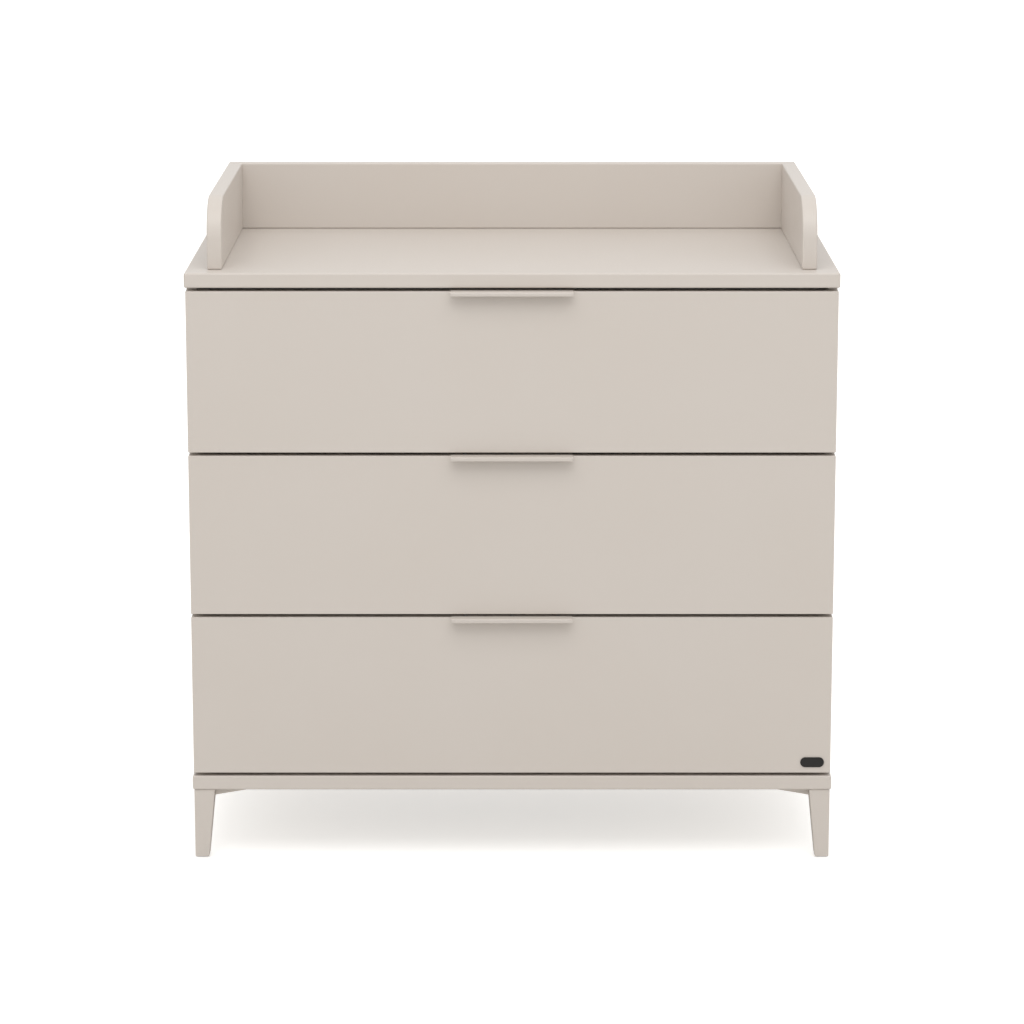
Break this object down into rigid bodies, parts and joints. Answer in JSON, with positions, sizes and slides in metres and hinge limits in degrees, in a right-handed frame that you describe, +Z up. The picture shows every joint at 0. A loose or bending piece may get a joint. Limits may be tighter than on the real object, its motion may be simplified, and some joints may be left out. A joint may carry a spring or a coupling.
{
  "type": "changing table",
  "caption": "Nursery changing table: chest of drawers on tapered legs, with a low three-sided rail round the changing surface.",
  "frame": {"origin": "on the floor under the middle of the whole table", "axes": "+Z up, -Y towards the drawer fronts, +X to the right as seen from the front"},
  "size_m": [0.97, 0.5264, 1.005],
  "materials": {
    "lacquered_mdf": "satin lacquer on fibreboard",
    "drawer_board": "satin melamine on chipboard",
    "drawer_floor_board": "satin foil on thin fibreboard",
    "back_hardboard": "bare hardboard",
    "lacquered_steel": "satin powder coat",
    "runner_steel": "bright zinc plate",
    "zinc_hardware": "zinc plate",
    "bracket_steel": "zinc plate",
    "beech": "plain turned beech",
    "glide_plastic": "matt moulded",
    "bumper_clear": "soft clear",
    "label_black": "satin moulded"
  },
  "bodies": {
    "carcass": {"top_panel": "lacquered_mdf", "bottom_panel": "lacquered_mdf", "side_panel_left": "lacquered_mdf", "side_panel_right": "lacquered_mdf", "back_panel": "back_hardboard", "front_stretcher": "drawer_board", "rear_stretcher": "drawer_board", "rail_back": "lacquered_mdf", "rail_left": "lacquered_mdf", "rail_right": "lacquered_mdf", "leg_front_left": "lacquered_mdf", "leg_front_right": "lacquered_mdf", "leg_rear_left": "lacquered_mdf", "leg_rear_right": "lacquered_mdf", "corner_blocks": "lacquered_mdf", "leg_bolts": "zinc_hardware", "leg_glides": "glide_plastic", "wood_screws": "zinc_hardware", "cam_locks": "zinc_hardware", "cam_bolts": "zinc_hardware", "dowels": "beech", "rail_screws": "zinc_hardware", "wall_brackets": "bracket_steel", "back_nails": "zinc_hardware", "bumpers": "bumper_clear", "cabinet_runners_top": "runner_steel", "cabinet_runners_middle": "runner_steel", "cabinet_runners_bottom": "runner_steel"},
    "drawer_bottom": {"drawer_front_bottom": "lacquered_mdf", "box_left_bottom": "drawer_board", "box_right_bottom": "drawer_board", "box_inner_front_bottom": "drawer_board", "box_back_bottom": "drawer_board", "box_floor_bottom": "drawer_floor_board", "handle_bottom": "lacquered_steel", "drawer_screws_bottom": "zinc_hardware", "drawer_runners_bottom": "runner_steel", "label_plate": "label_black"},
    "drawer_middle": {"drawer_front_middle": "lacquered_mdf", "box_left_middle": "drawer_board", "box_right_middle": "drawer_board", "box_inner_front_middle": "drawer_board", "box_back_middle": "drawer_board", "box_floor_middle": "drawer_floor_board", "handle_middle": "lacquered_steel", "drawer_screws_middle": "zinc_hardware", "drawer_runners_middle": "runner_steel"},
    "drawer_top": {"drawer_front_top": "lacquered_mdf", "box_left_top": "drawer_board", "box_right_top": "drawer_board", "box_inner_front_top": "drawer_board", "box_back_top": "drawer_board", "box_floor_top": "drawer_floor_board", "handle_top": "lacquered_steel", "drawer_screws_top": "zinc_hardware", "drawer_runners_top": "runner_steel"},
    "runner_bottom": {"middle_runners_bottom": "runner_steel"},
    "runner_middle": {"middle_runners_middle": "runner_steel"},
    "runner_top": {"middle_runners_top": "runner_steel"}
  },
  "joints": [
    {"name": "drawer_bottom_slide", "type": "slide", "parent": "carcass", "child": "drawer_bottom", "axis": [0, -1, 0], "range_m": [0, 0.4]},
    {"name": "drawer_middle_slide", "type": "slide", "parent": "carcass", "child": "drawer_middle", "axis": [0, -1, 0], "range_m": [0, 0.4]},
    {"name": "drawer_top_slide", "type": "slide", "parent": "carcass", "child": "drawer_top", "axis": [0, -1, 0], "range_m": [0, 0.4]},
    {"name": "runner_bottom_slide", "type": "slide", "parent": "carcass", "child": "runner_bottom", "axis": [0, -1, 0], "range_m": [0, 0.2]},
    {"name": "runner_middle_slide", "type": "slide", "parent": "carcass", "child": "runner_middle", "axis": [0, -1, 0], "range_m": [0, 0.2]},
    {"name": "runner_top_slide", "type": "slide", "parent": "carcass", "child": "runner_top", "axis": [0, -1, 0], "range_m": [0, 0.2]}
  ],
  "couplings": [
    {"joint": "runner_bottom_slide", "follows": "drawer_bottom_slide", "ratio": 0.5},
    {"joint": "runner_middle_slide", "follows": "drawer_middle_slide", "ratio": 0.5},
    {"joint": "runner_top_slide", "follows": "drawer_top_slide", "ratio": 0.5}
  ]
}
